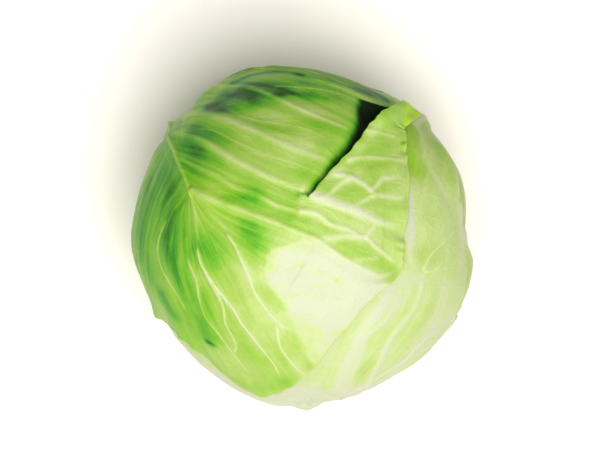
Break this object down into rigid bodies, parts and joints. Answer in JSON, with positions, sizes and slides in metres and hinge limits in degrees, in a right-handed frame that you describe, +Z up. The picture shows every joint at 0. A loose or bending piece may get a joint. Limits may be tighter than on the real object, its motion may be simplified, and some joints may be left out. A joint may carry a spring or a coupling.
{
  "type": "green cabbage head",
  "caption": "Whole smooth-leaved green cabbage head with loose wrapper leaves, a torn top leaf, a tight heart and a cut stalk.",
  "frame": {"origin": "centre of the stalk's flat cut face, which the head rests on", "axes": "+Z up along the stalk from its cut face to the crown; the top leaf's midrib comes up from the stalk at 140 degrees from +X towards +Y; +X, +Y otherwise have no special direction"},
  "size_m": [0.1714, 0.1755, 0.1535],
  "materials": {
    "top_leaf": "waxy green blade, deeper green near its midrib and paler towards the margin, with pale ribs",
    "second_leaf": "waxy pale yellow-green blade with whitish ribs",
    "under_leaf": "waxy light green blade with pale ribs",
    "heart": "pale yellow-green, smooth and slightly waxy",
    "stalk": "cream, fibrous cut face with a greener rind"
  },
  "bodies": {
    "root": {"leaf_1": "top_leaf", "leaf_2": "second_leaf", "leaf_3": "under_leaf", "leaf_4": "under_leaf", "leaf_5": "under_leaf", "heart": "heart", "stalk": "stalk"}
  },
  "joints": []
}
